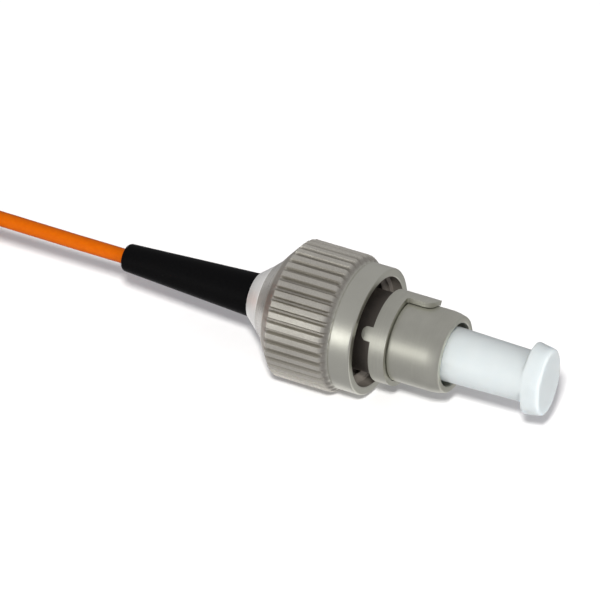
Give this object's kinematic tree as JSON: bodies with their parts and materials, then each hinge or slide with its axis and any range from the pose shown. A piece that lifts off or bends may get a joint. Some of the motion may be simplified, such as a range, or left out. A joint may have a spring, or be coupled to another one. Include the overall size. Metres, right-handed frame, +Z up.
{
  "type": "fc fibre connector",
  "caption": "Threaded fibre-optic plug with a fluted coupling nut, keyed sleeve, sprung ceramic ferrule under a pull-off dust cap, slim boot and a buffered pigtail.",
  "frame": {"origin": "on the surface it lies on, under the middle of the connector's own length and width, without the pigtail", "axes": "+X along the plug's axis towards the ferrule's tip, +Z up"},
  "size_m": [0.064, 0.0182, 0.0101],
  "materials": {
    "satin_nickel": "satin nickel plate on turned brass",
    "grey_nickel": "bead-blasted nickel plate on brass",
    "bright_nickel": "bright turned nickel plate",
    "brass_washer": "plain brass",
    "boot_rubber": "smooth black moulded rubber",
    "zirconia": "polished white ceramic",
    "spring_steel": "drawn stainless wire",
    "clear_tube": "milky white tubing",
    "glass": "bare silica fibre",
    "orange_buffer": "orange extruded buffer",
    "white_cap": "milky translucent moulded polyethylene",
    "tie_plastic": "soft black tie"
  },
  "bodies": {
    "plug": {"plug_sleeve": "satin_nickel", "key_ring": "satin_nickel", "rear_body": "bright_nickel", "boot": "boot_rubber", "ferrule_spring": "spring_steel", "buffer_insert": "clear_tube", "buffer_end": "orange_buffer", "pigtail": "orange_buffer", "pigtail_coil": "orange_buffer", "coil_tie": "tie_plastic"},
    "washer": {"thrust_washer": "brass_washer"},
    "nut": {"coupling_nut": "grey_nickel"},
    "ferrule_group": {"ferrule": "zirconia", "ferrule_flange": "grey_nickel", "guide_tube": "clear_tube", "glass_fibre": "glass"},
    "cap": {"dust_cap": "white_cap"}
  },
  "joints": [
    {"name": "nut_slide", "type": "slide", "parent": "plug", "child": "washer", "axis": [1, 0, 0], "range_m": [0, 0.0011]},
    {"name": "nut_turn", "type": "hinge", "parent": "washer", "child": "nut", "pos_m": [0, 0, 0.00505], "axis": [1, 0, 0], "continuous": true},
    {"name": "ferrule_float", "type": "slide", "parent": "plug", "child": "ferrule_group", "axis": [-1, 0, 0], "range_m": [0, 0.0008], "stiffness_N_per_m": 4000, "springref_m": -0.0015, "deforming": ["ferrule_spring"]},
    {"name": "cap_pull", "type": "slide", "parent": "ferrule_group", "child": "cap", "axis": [1, 0, 0], "range_m": [0, 0.02]}
  ]
}
